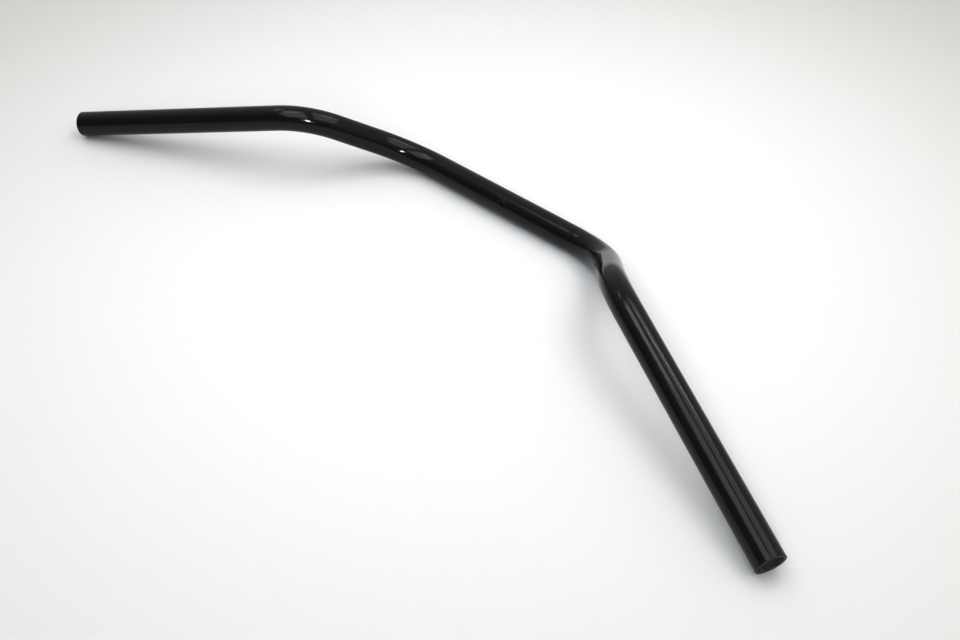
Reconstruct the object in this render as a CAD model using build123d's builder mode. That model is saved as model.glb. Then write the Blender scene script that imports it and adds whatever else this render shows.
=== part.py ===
from build123d import *
import os
from math import atan2, cos, hypot, radians, sin

# One-piece motorcycle handlebar: a single round steel tube with four bends, open at both ends.
#
# Units are millimetres. The origin is on the tube's axis, in the middle of the clamp section.
# +X runs along the clamp section to the rider's right, +Y points ahead and +Z points up.
# The bar lies as it rests on a flat surface: the clamp section and both tips touch it, and
# the two upper bends stand clear of it.

# The tube
tube_diameter = 22.2  # 7/8 inch bar
wall = 2.0
bend_radius = 3 * tube_diameter  # every bend, on the centreline

# The corners that the centreline turns at, before the bends round them
lower_corner_spacing = 219.0  # between the two corners at the ends of the clamp section
upper_corner_spacing = 333.0  # between the two corners at the inner ends of the grips
upper_corner_setback = 73.0  # behind the clamp section
rise = 47.0  # of the upper corners over the clamp section
width = 737.0  # between the centres of the two end faces
pullback = 174.5  # of the end faces behind the clamp section

# The rims, deburred outside and inside
rim_rounding = 0.5
rim_chamfer = 0.3

# The hole drilled through one wall near the middle of the clamp section
centre_hole_diameter = 9.0
centre_hole_offset = 5.5  # to the rider's right of the middle
centre_hole_elevation = radians(44)  # up from straight behind
centre_hole_rounding = 0.3

tube_radius = tube_diameter / 2
bore_radius = tube_radius - wall
grip_run = hypot((width - upper_corner_spacing) / 2, pullback - upper_corner_setback)
grip_slope = atan2(rise, grip_run)
# The rounded rim of each sloping tip touches the surface that the clamp section lies on.
tip_height = (tube_radius - rim_rounding) * (cos(grip_slope) - 1) - rim_rounding * sin(grip_slope)

lower_corner = (lower_corner_spacing / 2, 0, 0)
upper_corner = (upper_corner_spacing / 2, -upper_corner_setback, rise)
tip = (width / 2, -pullback, tip_height)

with BuildPart() as handlebar_tube:
    # The right half of the tube, from the middle of the clamp section to the tip
    with BuildLine() as centreline:
        FilletPolyline((0, 0, 0), lower_corner, upper_corner, tip, radius=bend_radius)
    with BuildSketch(Plane.YZ):
        Circle(tube_radius)
        Circle(bore_radius, mode=Mode.SUBTRACT)
    sweep(path=centreline.line)
    end_face = handlebar_tube.faces().sort_by(Axis.X)[-1]
    rims = end_face.edges().sort_by(SortBy.LENGTH)
    fillet(rims[-1], rim_rounding)
    chamfer(rims[0], rim_chamfer)
    mirror(about=Plane.YZ)

    # The centre hole, through the wall that faces up and back
    hole_direction = (0, -cos(centre_hole_elevation), sin(centre_hole_elevation))
    hole_origin = (centre_hole_offset, 0, 0)
    with BuildSketch(Plane(origin=hole_origin, x_dir=(1, 0, 0), z_dir=hole_direction)):
        Circle(centre_hole_diameter / 2)
    extrude(amount=tube_diameter, mode=Mode.SUBTRACT)
    hole_wall = handlebar_tube.faces().filter_by(GeomType.CYLINDER).sort_by(SortBy.AREA)[0]
    hole_rim = hole_wall.edges().group_by(Axis(hole_origin, hole_direction))[-1]
    fillet(hole_rim, centre_hole_rounding)

handlebar_tube.part.label = "handlebar_tube"

os.makedirs("parts", exist_ok=True)
export_step(handlebar_tube.part, "parts/handlebar_tube.step")

straight_runs = centreline.edges().filter_by(GeomType.LINE)
print("straight runs from the middle to the tip:", [round(run.length, 2) for run in straight_runs])
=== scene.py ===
"""Looks for the one-piece steel handlebar: a gloss black bent tube lying on a pale floor.

Metres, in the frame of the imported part: the origin is on the tube's axis in the middle of the
clamp section, +X runs to the rider's right, +Y ahead and +Z up.
"""
from math import acos, atan2, ceil, cos, hypot, pi, radians, sin, sqrt, tan

import bpy
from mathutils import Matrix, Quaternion, Vector


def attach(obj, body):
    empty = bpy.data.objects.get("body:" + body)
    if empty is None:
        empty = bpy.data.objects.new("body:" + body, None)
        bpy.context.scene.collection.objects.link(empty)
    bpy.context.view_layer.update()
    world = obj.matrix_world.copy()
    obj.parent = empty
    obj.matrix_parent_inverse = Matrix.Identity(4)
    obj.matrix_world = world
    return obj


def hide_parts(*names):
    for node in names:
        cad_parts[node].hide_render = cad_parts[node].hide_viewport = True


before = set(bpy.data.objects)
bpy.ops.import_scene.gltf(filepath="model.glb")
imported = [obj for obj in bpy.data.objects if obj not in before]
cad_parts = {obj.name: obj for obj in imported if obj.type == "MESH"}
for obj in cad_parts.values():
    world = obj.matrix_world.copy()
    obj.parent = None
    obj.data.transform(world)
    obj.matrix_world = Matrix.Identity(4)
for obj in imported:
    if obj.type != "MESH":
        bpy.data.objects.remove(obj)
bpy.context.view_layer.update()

# ---------------------------------------------------------------- the bar's driving dimensions
TUBE_RADIUS = 0.0111
WALL = 0.0020
BORE_RADIUS = TUBE_RADIUS - WALL
BEND_RADIUS = 0.0666  # of the centreline

# The corners that the centreline turns at, before the bends round them
LOWER_CORNER_X = 0.1095
UPPER_CORNER_X = 0.1665
UPPER_CORNER_SETBACK = 0.0730
RISE = 0.0470
HALF_WIDTH = 0.3685  # to the centre of an end face
PULLBACK = 0.1745

RIM_ROUNDING = 0.0005
RIM_CHAMFER = 0.0003

HOLE_RADIUS = 0.0045
HOLE_OFFSET = 0.0055  # to the rider's right of the middle
HOLE_ELEVATION = radians(44)  # up from straight behind
HOLE_ROUNDING = 0.0003
HOLE_INNER_ROUNDING = 0.00015

# ---------------------------------------------------------------- mesh density
COLUMNS = 96  # vertices round the tube
BEND_STEP = 0.0015  # between rings
STRAIGHT_STEP = 0.0040
RIM_STEPS = 6  # across a rounded rim
EDGE_SUPPORT = 0.00005  # from an edge to the loop that keeps it crisp

# The square patch of faces round the hole, on the outside and in the bore
PATCH_ROWS = 12  # each way from the patch's middle
PATCH_COLUMNS = 12
PATCH_HALF_LENGTH = 0.0090
PATCH_LOOPS = 7  # between the patch's border and the hole
PATCH_EASING = 1.5  # above 1, the steps between the loops shrink from the first to the last
WALL_LOOPS = 3  # between the hole's two rounded edges

# The vertex attribute that holds each vertex's place on the tube before it was bent
UNBENT_PLACE = "straight"


# ================================================================ centreline
def tip_height():
    """The tip's height over the clamp section's axis when both lie on the same floor."""
    run = hypot(HALF_WIDTH - UPPER_CORNER_X, PULLBACK - UPPER_CORNER_SETBACK)
    slope = atan2(RISE, run)
    return (TUBE_RADIUS - RIM_ROUNDING) * (cos(slope) - 1) - RIM_ROUNDING * sin(slope)


class Run:
    """One straight run or bend of the right half, with its axes carried along it untwisted."""

    def __init__(self, start, axes, length, bend_axis=None):
        self.start = start
        self.along, self.side, self.up = axes
        self.length = length
        self.bend_axis = bend_axis

    def at(self, distance):
        """The centre, the direction and the two cross-section axes at a distance from the start."""
        if self.bend_axis is None:
            return self.start + self.along * distance, self.along, self.side, self.up
        centre = self.start + self.bend_axis.cross(self.along) * BEND_RADIUS
        spin = Quaternion(self.bend_axis, distance / BEND_RADIUS)
        place = centre + spin @ (self.start - centre)
        return place, spin @ self.along, spin @ self.side, spin @ self.up


def centreline_runs():
    """The right half's runs: clamp section, lower bend, riser, upper bend, grip."""
    corners = [
        Vector((0, 0, 0)),
        Vector((LOWER_CORNER_X, 0, 0)),
        Vector((UPPER_CORNER_X, -UPPER_CORNER_SETBACK, RISE)),
        Vector((HALF_WIDTH, -PULLBACK, tip_height())),
    ]
    runs = []
    place = corners[0]
    axes = (Vector((1, 0, 0)), Vector((0, 1, 0)), Vector((0, 0, 1)))
    for corner, following in zip(corners[1:], corners[2:]):
        onward = (following - corner).normalized()
        turn = acos(axes[0].dot(onward))
        setback = BEND_RADIUS * tan(turn / 2)
        bend_start = corner - axes[0] * setback
        runs.append(Run(place, axes, (bend_start - place).length))
        bend_axis = axes[0].cross(onward).normalized()
        bend = Run(bend_start, axes, BEND_RADIUS * turn, bend_axis)
        runs.append(bend)
        place, *axes = bend.at(bend.length)
    runs.append(Run(place, axes, (corners[-1] - place).length))
    return runs


RUNS = centreline_runs()
HALF_LENGTH = sum(run.length for run in RUNS)


def section_at(distance):
    """Centre and cross-section axes at a signed distance along the bar from its middle."""
    rest = abs(distance)
    for run in RUNS:
        if rest <= run.length or run is RUNS[-1]:
            break
        rest -= run.length
    place, _, side, up = run.at(rest)
    if distance < 0:
        place, side, up = (Vector((-v.x, v.y, v.z)) for v in (place, side, up))
    return place, side, up


def half_distances(beginning):
    """Distances from the middle to one half's rings past a beginning, closer in the bends."""
    distances = []
    done = 0.0
    for run in RUNS:
        first = max(done, beginning)
        last = done + run.length
        if run is RUNS[-1]:
            last -= RIM_ROUNDING + 2 * EDGE_SUPPORT
        step = STRAIGHT_STEP if run.bend_axis is None else BEND_STEP
        count = ceil((last - first) / step)
        distances += [first + (last - first) * i / count for i in range(1, count + 1)]
        done += run.length
    return distances


def outside_distances():
    """Signed distances to the rings from left to right, and the row through the hole's middle."""
    left = half_distances(PATCH_HALF_LENGTH - HOLE_OFFSET)
    right = half_distances(PATCH_HALF_LENGTH + HOLE_OFFSET)
    row_step = PATCH_HALF_LENGTH / PATCH_ROWS
    patch = [HOLE_OFFSET + row_step * row for row in range(-PATCH_ROWS, PATCH_ROWS + 1)]
    return [-d for d in reversed(left)] + patch + right, len(left) + PATCH_ROWS


# ================================================================ the tube's mesh
class Tube:
    """Gathers the vertices and faces of one closed tube wall."""

    # The finishes, numbered as the mesh's material slots
    COATED, BARE = 0, 1

    def __init__(self):
        self.points = []
        self.unbent = []
        self.faces = []
        self.finishes = []

    def add(self, point, unbent):
        self.points.append(point)
        self.unbent.append(unbent)
        return len(self.points) - 1

    def face(self, corners, finish):
        self.faces.append(corners)
        self.finishes.append(finish)

    def ring_point(self, distance, radius, angle):
        """Adds a point of a ring round the tube."""
        place, side, up = section_at(distance)
        point = place + (side * cos(angle) + up * sin(angle)) * radius
        return self.add(point, (distance, radius * cos(angle), radius * sin(angle)))

    def hole_point(self, along, across, height):
        """Adds a point of the straight middle, from its place beside and along the hole's axis."""
        outward = Vector((0, -cos(HOLE_ELEVATION), sin(HOLE_ELEVATION)))
        sideways = Vector((0, -sin(HOLE_ELEVATION), -cos(HOLE_ELEVATION)))
        point = Vector((HOLE_OFFSET + along, 0, 0)) + sideways * across + outward * height
        return self.add(point, tuple(point))

    def beside_hole(self, index):
        """Where a vertex lies beside the hole's axis: along the bar, and across it."""
        point = self.points[index]
        across = -point.y * sin(HOLE_ELEVATION) - point.z * cos(HOLE_ELEVATION)
        return point.x - HOLE_OFFSET, across

    def unbent_key(self, index):
        """Where a vertex lies along and round the unbent tube, rounded so that it can be looked up."""
        distance, y, z = self.unbent[index]
        return round(distance, 7), round(atan2(z, y), 5)

    def bridge(self, first, second, finish):
        """Faces between two closed loops of vertices of the same length."""
        count = len(first)
        for i in range(count):
            j = (i + 1) % count
            self.face((first[i], second[i], second[j], first[j]), finish)


def quarter_turns(steps):
    return [pi / 2 * i / steps for i in range(steps + 1)]


def wall_stations():
    """(distance, radius, finish) of every ring, and the two rows through the hole's middle.

    The rings go right along the outside, over the right rim, back through the bore and over the
    left rim.
    """
    outside, outer_middle = outside_distances()
    chamfer_radius = BORE_RADIUS + RIM_CHAMFER
    coated_rim = []
    for turn in quarter_turns(RIM_STEPS):
        distance = HALF_LENGTH - RIM_ROUNDING * (1 - sin(turn))
        coated_rim.append((distance, TUBE_RADIUS - RIM_ROUNDING * (1 - cos(turn))))
    coated_rim += [
        (HALF_LENGTH, TUBE_RADIUS - RIM_ROUNDING - EDGE_SUPPORT),
        (HALF_LENGTH, chamfer_radius + EDGE_SUPPORT),
        (HALF_LENGTH, chamfer_radius),
        (HALF_LENGTH - EDGE_SUPPORT, chamfer_radius - EDGE_SUPPORT),
        (HALF_LENGTH - RIM_CHAMFER + EDGE_SUPPORT, BORE_RADIUS + EDGE_SUPPORT),
    ]
    bare_rim = [
        (HALF_LENGTH - RIM_CHAMFER, BORE_RADIUS),
        (HALF_LENGTH - RIM_CHAMFER - EDGE_SUPPORT, BORE_RADIUS),
    ]
    stations = [(d, TUBE_RADIUS, Tube.COATED) for d in outside]
    stations += [(d, r, Tube.COATED) for d, r in coated_rim]
    stations += [(d, r, Tube.BARE) for d, r in bare_rim]
    stations += [(d, BORE_RADIUS, Tube.BARE) for d in reversed(outside)]
    stations += [(-d, r, Tube.BARE) for d, r in reversed(bare_rim)]
    stations += [(-d, r, Tube.COATED) for d, r in reversed(coated_rim)]
    bore_end = 2 * len(outside) + len(coated_rim) + len(bare_rim) - 1
    return stations, outer_middle, bore_end - outer_middle


def column_angle(column):
    """The angle of a column round the tube. Column 0 goes through the hole's middle."""
    return pi - HOLE_ELEVATION + 2 * pi * column / COLUMNS


def in_patch(row, column, middles):
    """Whether a place on the grid of rings is inside a patch, not on its border."""
    beside_middle = abs((column + COLUMNS / 2) % COLUMNS - COLUMNS / 2) < PATCH_COLUMNS
    return beside_middle and any(abs(row - middle) < PATCH_ROWS for middle in middles)


def patch_border(rings, middle):
    """The closed loop of ring vertices round a patch."""
    low, high = middle - PATCH_ROWS, middle + PATCH_ROWS
    left, right = -PATCH_COLUMNS, PATCH_COLUMNS
    cells = [(high, column) for column in range(0, right)]
    cells += [(row, right) for row in range(high, low, -1)]
    cells += [(low, column) for column in range(right, left, -1)]
    cells += [(row, left) for row in range(low, high)]
    cells += [(high, column) for column in range(left, 0)]
    return [rings[row][column % COLUMNS] for row, column in cells]


def build_tube():
    """The whole wall: rings of faces with two patches left open, and the hole built into them."""
    tube = Tube()
    stations, outer_middle, inner_middle = wall_stations()
    middles = (outer_middle, inner_middle)
    rings = []
    for row, (distance, radius, _) in enumerate(stations):
        ring = []
        for column in range(COLUMNS):
            if in_patch(row, column, middles):
                ring.append(None)
            else:
                ring.append(tube.ring_point(distance, radius, column_angle(column)))
        rings.append(ring)
    for row, ring in enumerate(rings):
        after = (row + 1) % len(rings)
        # A face between a coated ring and a bare one is bare.
        finish = max(stations[row][2], stations[after][2])
        for column in range(COLUMNS):
            if in_patch(row + 0.5, column + 0.5, middles):
                continue
            beside = (column + 1) % COLUMNS
            corners = (ring[column], ring[beside], rings[after][beside], rings[after][column])
            tube.face(corners, finish)
    add_hole(tube, patch_border(rings, outer_middle), patch_border(rings, inner_middle))
    return tube


def add_hole(tube, outer_border, inner_border):
    """Both patches and the hole's own wall, as loops round the hole's axis."""
    # The bore's rings run the other way, so its border is put in the order of the outside's.
    lookup = {tube.unbent_key(index): index for index in inner_border}
    inner_border = [lookup[tube.unbent_key(index)] for index in outer_border]
    outer_places = [tube.beside_hole(index) for index in outer_border]
    inner_places = [tube.beside_hole(index) for index in inner_border]
    angles = [atan2(across, along) for along, across in outer_places]

    def surface_loop(surface_radius, border, circle_radius, share):
        """A loop on the outside or in the bore, a share of the way from the border to a circle."""
        loop = []
        for (border_along, border_across), angle in zip(border, angles):
            along = border_along + (circle_radius * cos(angle) - border_along) * share
            across = border_across + (circle_radius * sin(angle) - border_across) * share
            height = sqrt(surface_radius ** 2 - across ** 2)
            loop.append(tube.hole_point(along, across, height))
        return loop

    def wall_loop(circle_radius, depth, top_gap, bottom_gap):
        """A loop in the hole. Depth 0 is top_gap under the outside, and 1 bottom_gap over the bore."""
        loop = []
        for angle in angles:
            across = circle_radius * sin(angle)
            top = sqrt(TUBE_RADIUS ** 2 - across ** 2) - top_gap
            bottom = sqrt(BORE_RADIUS ** 2 - across ** 2) + bottom_gap
            height = top * (1 - depth) + bottom * depth
            loop.append(tube.hole_point(circle_radius * cos(angle), across, height))
        return loop

    def share_left(i):
        return (1 - i / PATCH_LOOPS) ** PATCH_EASING

    outside_loops = [outer_border]
    edge_radius = HOLE_RADIUS + HOLE_ROUNDING + EDGE_SUPPORT
    for i in range(1, PATCH_LOOPS + 1):
        share = 1 - share_left(i)
        outside_loops.append(surface_loop(TUBE_RADIUS, outer_places, edge_radius, share))
    for turn in quarter_turns(RIM_STEPS):
        radius = HOLE_RADIUS + HOLE_ROUNDING * (1 - sin(turn))
        outside_loops.append(wall_loop(radius, 0, HOLE_ROUNDING * (1 - cos(turn)), 0))
    for i in range(1, WALL_LOOPS + 1):
        depth = i / (WALL_LOOPS + 1)
        outside_loops.append(wall_loop(HOLE_RADIUS, depth, HOLE_ROUNDING, HOLE_INNER_ROUNDING))

    inside_loops = [outside_loops[-1]]
    for turn in quarter_turns(RIM_STEPS // 2):
        radius = HOLE_RADIUS + HOLE_INNER_ROUNDING * (1 - cos(turn))
        inside_loops.append(wall_loop(radius, 1, 0, HOLE_INNER_ROUNDING * (1 - sin(turn))))
    edge_radius = HOLE_RADIUS + HOLE_INNER_ROUNDING + EDGE_SUPPORT
    for i in range(1, PATCH_LOOPS):
        inside_loops.append(surface_loop(BORE_RADIUS, inner_places, edge_radius, share_left(i)))
    inside_loops.append(inner_border)

    for first, second in zip(outside_loops, outside_loops[1:]):
        tube.bridge(first, second, Tube.COATED)
    for first, second in zip(inside_loops, inside_loops[1:]):
        tube.bridge(first, second, Tube.BARE)


# ================================================================ shader helpers
class Shader:
    """A material's nodes, added by short calls."""

    # Where a Mix node has its two colours and its mixed colour
    COLOUR_A, COLOUR_B, COLOUR_RESULT = 6, 7, 2

    def __init__(self, name):
        self.material = bpy.data.materials.new(name)
        self.material.use_nodes = True
        self.tree = self.material.node_tree
        self.tree.nodes.clear()
        self.surface = self.tree.nodes.new("ShaderNodeBsdfPrincipled")
        output = self.tree.nodes.new("ShaderNodeOutputMaterial")
        self.put(output.inputs["Surface"], self.surface.outputs["BSDF"])

    def put(self, socket, value):
        """Links a node's output to a socket, or sets the socket to a plain value."""
        if isinstance(value, bpy.types.NodeSocket):
            self.tree.links.new(value, socket)
        else:
            socket.default_value = value

    def set_surface(self, **values):
        """Sets or links the surface's sockets, each named with _ in place of its spaces."""
        for name, value in values.items():
            self.put(self.surface.inputs[name.replace("_", " ")], value)

    def unbent_place(self):
        node = self.tree.nodes.new("ShaderNodeAttribute")
        node.attribute_name = UNBENT_PLACE
        return node.outputs["Vector"]

    def object_place(self):
        return self.tree.nodes.new("ShaderNodeTexCoord").outputs["Object"]

    def part(self, axis, vector):
        node = self.tree.nodes.new("ShaderNodeSeparateXYZ")
        self.put(node.inputs[0], vector)
        return node.outputs[axis]

    def facing_up(self):
        node = self.tree.nodes.new("ShaderNodeNewGeometry")
        return self.part("Z", node.outputs["Normal"])

    def vector_math(self, operation, *vectors):
        node = self.tree.nodes.new("ShaderNodeVectorMath")
        node.operation = operation
        for socket, vector in zip(node.inputs, vectors):
            self.put(socket, vector)
        return node.outputs

    def scaled(self, vector, scale):
        return self.vector_math("MULTIPLY", vector, scale)["Vector"]

    def moved(self, vector, step):
        return self.vector_math("ADD", vector, step)["Vector"]

    def length(self, vector):
        return self.vector_math("LENGTH", vector)["Value"]

    def math(self, operation, *values):
        node = self.tree.nodes.new("ShaderNodeMath")
        node.operation = operation
        for socket, value in zip(node.inputs, values):
            self.put(socket, value)
        return node.outputs[0]

    def product(self, first, second):
        return self.math("MULTIPLY", first, second)

    def noise(self, vector, scale, detail, roughness):
        node = self.tree.nodes.new("ShaderNodeTexNoise")
        self.put(node.inputs["Vector"], vector)
        node.inputs["Scale"].default_value = scale
        node.inputs["Detail"].default_value = detail
        node.inputs["Roughness"].default_value = roughness
        return node.outputs["Fac"]

    def spots(self, vector, scale):
        node = self.tree.nodes.new("ShaderNodeTexVoronoi")
        self.put(node.inputs["Vector"], vector)
        node.inputs["Scale"].default_value = scale
        return node.outputs["Distance"]

    def remap(self, value, low, high, new_low=0.0, new_high=1.0):
        """Turns low..high into new_low..new_high with soft ends. High may be under low."""
        node = self.tree.nodes.new("ShaderNodeMapRange")
        node.interpolation_type = "SMOOTHSTEP"
        sockets = node.inputs
        self.put(sockets["Value"], value)
        sockets["From Min"].default_value = low
        sockets["From Max"].default_value = high
        sockets["To Min"].default_value = new_low
        sockets["To Max"].default_value = new_high
        return node.outputs["Result"]

    def mixed_colour(self, share, first, second):
        """The first colour at share 0, and the second at share 1."""
        node = self.tree.nodes.new("ShaderNodeMix")
        node.data_type = "RGBA"
        self.put(node.inputs["Factor"], share)
        self.put(node.inputs[self.COLOUR_A], first)
        self.put(node.inputs[self.COLOUR_B], second)
        return node.outputs[self.COLOUR_RESULT]

    def bump(self, height, depth, below=None):
        """A bump of a depth in metres, on top of another one if there is one below."""
        node = self.tree.nodes.new("ShaderNodeBump")
        node.inputs["Strength"].default_value = 1.0
        node.inputs["Distance"].default_value = depth
        self.put(node.inputs["Height"], height)
        if below is not None:
            self.put(node.inputs["Normal"], below)
        return node.outputs["Normal"]


# ================================================================ materials
def gloss_black_coating():
    """Gloss black stoving enamel: fine orange peel, handling haze, dust, rubs and a worn rim."""
    deep_black = (0.0085, 0.0085, 0.0090, 1)
    hazed_black = (0.0130, 0.0128, 0.0125, 1)
    rubbed_black = (0.045, 0.045, 0.046, 1)
    dust_grey = (0.20, 0.195, 0.185, 1)
    bare_steel = (0.36, 0.35, 0.34, 1)

    s = Shader("gloss_black_coating")
    place = s.unbent_place()
    from_middle = s.math("ABSOLUTE", s.part("X", place))
    from_axis = s.length(s.scaled(place, (0.0, 1.0, 1.0)))

    # Textures over the whole tube
    peel = s.noise(place, scale=620.0, detail=1.5, roughness=0.5)
    ripple = s.noise(place, scale=95.0, detail=1.0, roughness=0.5)
    stretched = s.scaled(place, (26.0, 1500.0, 1500.0))
    lengthwise = s.noise(stretched, scale=1.0, detail=3.0, roughness=0.6)
    haze = s.noise(place, scale=55.0, detail=4.0, roughness=0.62)

    # Faint lengthwise rubs, on the outer part of the grips
    gripped = s.remap(from_middle, HALF_LENGTH - 0.150, HALF_LENGTH - 0.090)
    rub_lines = s.remap(lengthwise, 0.60, 0.72)
    rubs = s.product(s.product(rub_lines, s.remap(haze, 0.42, 0.62)), gripped)

    # Bare steel at each tip, where the coating is thin beside the bore or chipped
    at_tip = s.remap(from_middle, HALF_LENGTH - 0.0009, HALF_LENGTH - 0.0003)
    at_bore = s.remap(from_axis, BORE_RADIUS + 0.00045, BORE_RADIUS + 0.00020)
    chip_noise = s.noise(place, scale=900.0, detail=3.0, roughness=0.6)
    chips = s.remap(chip_noise, 0.61, 0.66)
    wear = s.product(at_tip, s.math("MAXIMUM", s.product(at_bore, 0.3), s.product(chips, 0.4)))

    # A few specks of dust, on what faces up
    specks = s.remap(s.spots(place, scale=430.0), 0.16, 0.10)
    speck_choice = s.noise(place, scale=210.0, detail=2.0, roughness=0.5)
    few_specks = s.product(specks, s.remap(speck_choice, 0.60, 0.66))
    dust = s.product(few_specks, s.remap(s.facing_up(), 0.0, 0.8))

    colour = s.mixed_colour(haze, deep_black, hazed_black)
    colour = s.mixed_colour(s.product(rubs, 0.5), colour, rubbed_black)
    colour = s.mixed_colour(s.product(dust, 0.35), colour, dust_grey)
    colour = s.mixed_colour(wear, colour, bare_steel)

    # The haze sets how dull the gloss is, and each of these dulls it more by its own amount.
    dullness = s.remap(haze, 0.40, 0.72, new_low=0.085, new_high=0.150)
    for share, added in ((rubs, 0.16), (gripped, 0.035), (dust, 0.45), (at_tip, 0.28)):
        dullness = s.math("MULTIPLY_ADD", share, added, dullness)

    normal = s.bump(ripple, depth=0.000090)
    normal = s.bump(peel, depth=0.0000310, below=normal)
    normal = s.bump(rubs, depth=-0.0000030, below=normal)
    normal = s.bump(dust, depth=0.000020, below=normal)

    metal = s.product(wear, 0.85)
    s.set_surface(Base_Color=colour, Metallic=metal, Roughness=dullness, IOR=1.5, Normal=normal)
    return s.material


def bare_bore():
    """The inside of drawn steel tube: grey with brown oxide, and dark overspray near the ends."""
    dark_steel = (0.340, 0.332, 0.320, 1)
    light_steel = (0.460, 0.448, 0.430, 1)
    oxide_brown = (0.250, 0.180, 0.125, 1)
    overspray_black = (0.085, 0.085, 0.086, 1)

    s = Shader("bare_bore")
    place = s.unbent_place()
    from_middle = s.math("ABSOLUTE", s.part("X", place))
    stretched = s.scaled(place, (30.0, 1300.0, 1300.0))
    drawn = s.noise(stretched, scale=1.0, detail=3.0, roughness=0.6)
    blotches = s.noise(place, scale=140.0, detail=4.0, roughness=0.6)
    near_tip = s.remap(from_middle, HALF_LENGTH - 0.016, HALF_LENGTH - 0.001)
    uneven = s.remap(blotches, 0.30, 0.52, new_low=0.55, new_high=1.0)
    overspray = s.product(near_tip, uneven)

    colour = s.mixed_colour(drawn, dark_steel, light_steel)
    colour = s.mixed_colour(s.remap(blotches, 0.50, 0.70), colour, oxide_brown)
    colour = s.mixed_colour(overspray, colour, overspray_black)
    metal = s.product(s.math("SUBTRACT", 1.0, overspray), 0.25)
    rough = s.remap(blotches, 0.35, 0.70, new_low=0.36, new_high=0.58)
    normal = s.bump(drawn, depth=0.000012)
    normal = s.bump(blotches, depth=0.000020, below=normal)
    s.set_surface(Base_Color=colour, Metallic=metal, Roughness=rough, IOR=1.5, Normal=normal)
    return s.material


def pale_floor():
    """White painted board: faint brush marks, soft uneven tone, and painted shade that darkens it away
    from a painted pool of light near the middle.
    """
    warm_white = (0.850, 0.842, 0.834, 1)
    cool_white = (0.850, 0.850, 0.856, 1)
    brush_grey = (0.79, 0.78, 0.775, 1)
    # The grey of the painted shade that the floor fades to away from its middle
    painted_shade_grey = (0.598, 0.590, 0.574, 1)
    # The centre of the painted pool of light on the floor
    painted_light_centre = Vector((-0.02, 0.03, 0.0))

    s = Shader("pale_floor")
    place = s.object_place()
    tone = s.noise(place, scale=2.2, detail=3.0, roughness=0.5)
    stretched = s.scaled(place, (6.0, 170.0, 1.0))
    brushed = s.noise(stretched, scale=1.0, detail=4.0, roughness=0.6)
    # Painted light falloff: the floor's colour darkens away from the middle, as though less light fell
    # there
    painted_falloff = s.remap(s.length(s.moved(place, -painted_light_centre)), 0.10, 0.80)

    colour = s.mixed_colour(tone, warm_white, cool_white)
    marks = s.remap(brushed, 0.56, 0.80, new_low=0.0, new_high=0.35)
    colour = s.mixed_colour(marks, colour, brush_grey)
    colour = s.mixed_colour(painted_falloff, colour, painted_shade_grey)
    rough = s.remap(tone, 0.3, 0.7, new_low=0.58, new_high=0.70)
    normal = s.bump(brushed, depth=0.00006)
    s.set_surface(Base_Color=colour, Roughness=rough, Specular_IOR_Level=0.25, Normal=normal)
    return s.material


# ================================================================ objects
def mesh_object(name, points, faces):
    mesh = bpy.data.meshes.new(name)
    mesh.from_pydata([tuple(point) for point in points], [], faces)
    mesh.update()
    piece = bpy.data.objects.new(name, mesh)
    bpy.context.scene.collection.objects.link(piece)
    return piece


def add_bar():
    tube = build_tube()
    piece = mesh_object("bar_tube", tube.points, tube.faces)
    mesh = piece.data
    mesh.materials.append(gloss_black_coating())
    mesh.materials.append(bare_bore())
    for polygon, finish in zip(mesh.polygons, tube.finishes):
        polygon.material_index = finish
        polygon.use_smooth = True
    unbent = mesh.attributes.new(UNBENT_PLACE, "FLOAT_VECTOR", "POINT")
    for item, value in zip(unbent.data, tube.unbent):
        item.vector = value
    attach(piece, "root")
    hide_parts("handlebar_tube")


def add_floor():
    """A wide floor that the clamp section and both tips touch."""
    half = 30.0
    level = -TUBE_RADIUS
    corners = [(-half, -half, level), (half, -half, level), (half, half, level), (-half, half, level)]
    floor = mesh_object("floor", corners, [(0, 1, 2, 3)])
    floor.data.materials.append(pale_floor())


# ================================================================ camera and light
def add_camera():
    """The viewpoint: behind the bar, to the rider's right and above it, rolled a little."""
    place = Vector((0.50158, -0.61119, 0.57517))
    target = Vector((0.07809, -0.11860, -0.01110))
    roll = radians(1.376)
    data = bpy.data.cameras.new("camera")
    data.sensor_width = 36.0
    data.lens = 42.16
    data.clip_start = 0.01
    data.clip_end = 100.0
    camera = bpy.data.objects.new("camera", data)
    bpy.context.scene.collection.objects.link(camera)
    camera.location = place
    camera.rotation_mode = "QUATERNION"
    level = (target - place).to_track_quat("-Z", "Y")
    camera.rotation_quaternion = level @ Quaternion((0, 0, 1), roll)
    bpy.context.scene.camera = camera


def add_room():
    """A soft grey room: lighter above and on the far side, darker on the camera's side."""
    light_side = (0.0, 0.78, 0.60)
    darkest, lightest = 0.20, 0.72
    wall_colour = (1.0, 0.995, 0.985, 1)

    world = bpy.data.worlds.new("room")
    bpy.context.scene.world = world
    world.use_nodes = True
    tree = world.node_tree
    tree.nodes.clear()
    output = tree.nodes.new("ShaderNodeOutputWorld")
    background = tree.nodes.new("ShaderNodeBackground")
    coordinates = tree.nodes.new("ShaderNodeTexCoord")
    toward_light = tree.nodes.new("ShaderNodeVectorMath")
    toward_light.operation = "DOT_PRODUCT"
    toward_light.inputs[1].default_value = light_side
    ramp = tree.nodes.new("ShaderNodeMapRange")
    ramp.interpolation_type = "SMOOTHSTEP"
    ramp.inputs["From Min"].default_value = -0.35
    ramp.inputs["From Max"].default_value = 0.55
    ramp.inputs["To Min"].default_value = darkest
    ramp.inputs["To Max"].default_value = lightest
    background.inputs["Color"].default_value = wall_colour
    tree.links.new(coordinates.outputs["Generated"], toward_light.inputs[0])
    tree.links.new(toward_light.outputs["Value"], ramp.inputs["Value"])
    tree.links.new(ramp.outputs["Result"], background.inputs["Strength"])
    tree.links.new(background.outputs["Background"], output.inputs["Surface"])


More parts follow.
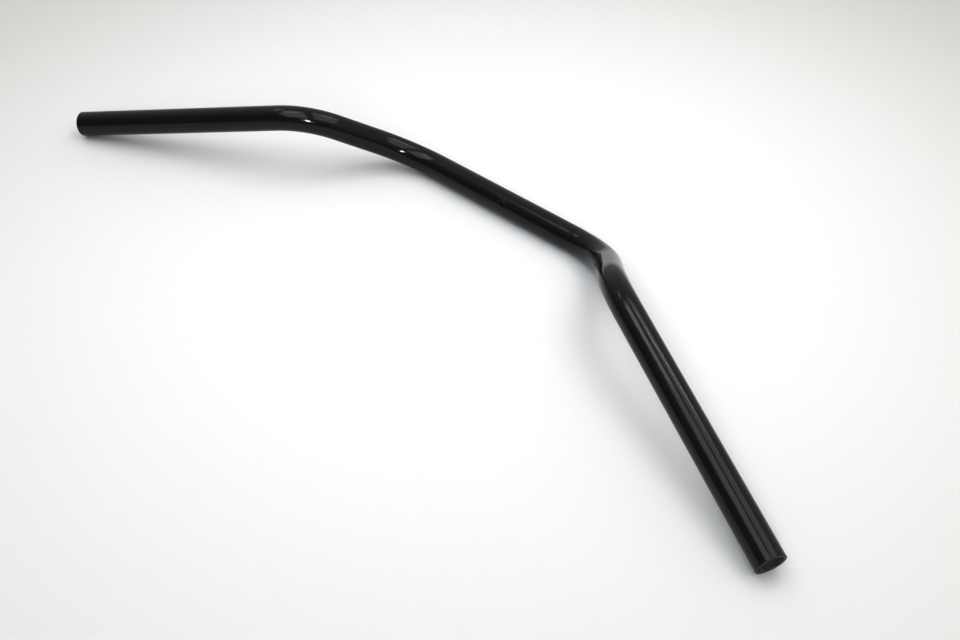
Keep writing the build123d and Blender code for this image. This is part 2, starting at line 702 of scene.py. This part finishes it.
def add_panel(name, centre, size, turn, radiance, colour, target=None):
    """A flat soft light of a given radiance, level and turned, or facing a target."""
    data = bpy.data.lights.new(name, "AREA")
    data.shape = "RECTANGLE"
    data.size, data.size_y = size
    data.energy = radiance * pi * size[0] * size[1]
    data.color = colour
    light = bpy.data.objects.new(name, data)
    bpy.context.scene.collection.objects.link(light)
    light.location = centre
    light.rotation_mode = "QUATERNION"
    if target is None:
        light.rotation_quaternion = Quaternion((0, 0, 1), turn)
    else:
        light.rotation_quaternion = (Vector(target) - Vector(centre)).to_track_quat("-Z", "Y")
    light.visible_camera = False
    return light


def add_lights():
    """Broad overhead panels with a dark gap down the middle, three small panels and a window.

    Places are measured from above the origin: u toward the camera and v to its right, or x and y.
    The broad panels' names say where they are as the camera sees them.
    """
    ceiling = 2.0
    small_panel_height = ceiling - 0.02
    warm_white = (1.0, 0.98, 0.96)
    cool_white = (0.98, 0.99, 1.0)
    broad_panels = (
        # name, range of u, range of v, radiance, colour
        ("panel_right", (-1.10, 1.50), (0.16, 1.45), 1.25, warm_white),
        ("panel_left_back", (-0.65, 0.10), (-1.15, -0.22), 1.15, cool_white),
        ("panel_left_front", (0.10, 1.80), (-1.58, -0.22), 1.60, cool_white),
    )
    for name, (u_low, u_high), (v_low, v_high), radiance, colour in broad_panels:
        u = (u_low + u_high) / 2
        v = (v_low + v_high) / 2
        centre = ((u + v) / sqrt(2), (v - u) / sqrt(2), ceiling)
        size = (u_high - u_low, v_high - v_low)
        add_panel(name, centre, size, radians(-45), radiance, colour)

    small_panels = (
        # name, (x, y), size, turn, radiance, colour
        ("strip", (0.165, 1.08), (0.80, 0.12), atan2(0.60, 0.47), 5.2, (1.0, 0.86, 0.62)),
        ("cool_panel", (-0.66, -0.40), (0.80, 0.36), radians(50), 2.0, (0.88, 0.95, 1.0)),
        ("end_panel", (-1.70, -0.10), (0.40, 0.60), 0.0, 2.0, (0.96, 0.97, 1.0)),
    )
    for name, (x, y), size, turn, radiance, colour in small_panels:
        add_panel(name, (x, y, small_panel_height), size, turn, radiance, colour)

    # The window shows as a bright image in the gloss but adds only a weak glow to the room.
    place = (1.80, -2.45, 1.66)
    bluish = (0.80, 0.90, 1.0)
    window = add_panel("window", place, (0.32, 0.80), 0.0, 42.0, bluish, target=(0, 0, 0))
    window.visible_diffuse = False
    glow = add_panel("window_glow", place, (0.6, 1.0), 0.0, 15.0, bluish, target=(0, 0, 0))
    glow.visible_glossy = False


add_camera()
add_bar()
add_floor()
add_room()
add_lights()

view_settings = bpy.context.scene.view_settings
view_settings.view_transform = "Standard"
view_settings.gamma = 0.70
view_settings.exposure = 0.15

bpy.context.view_layer.update()
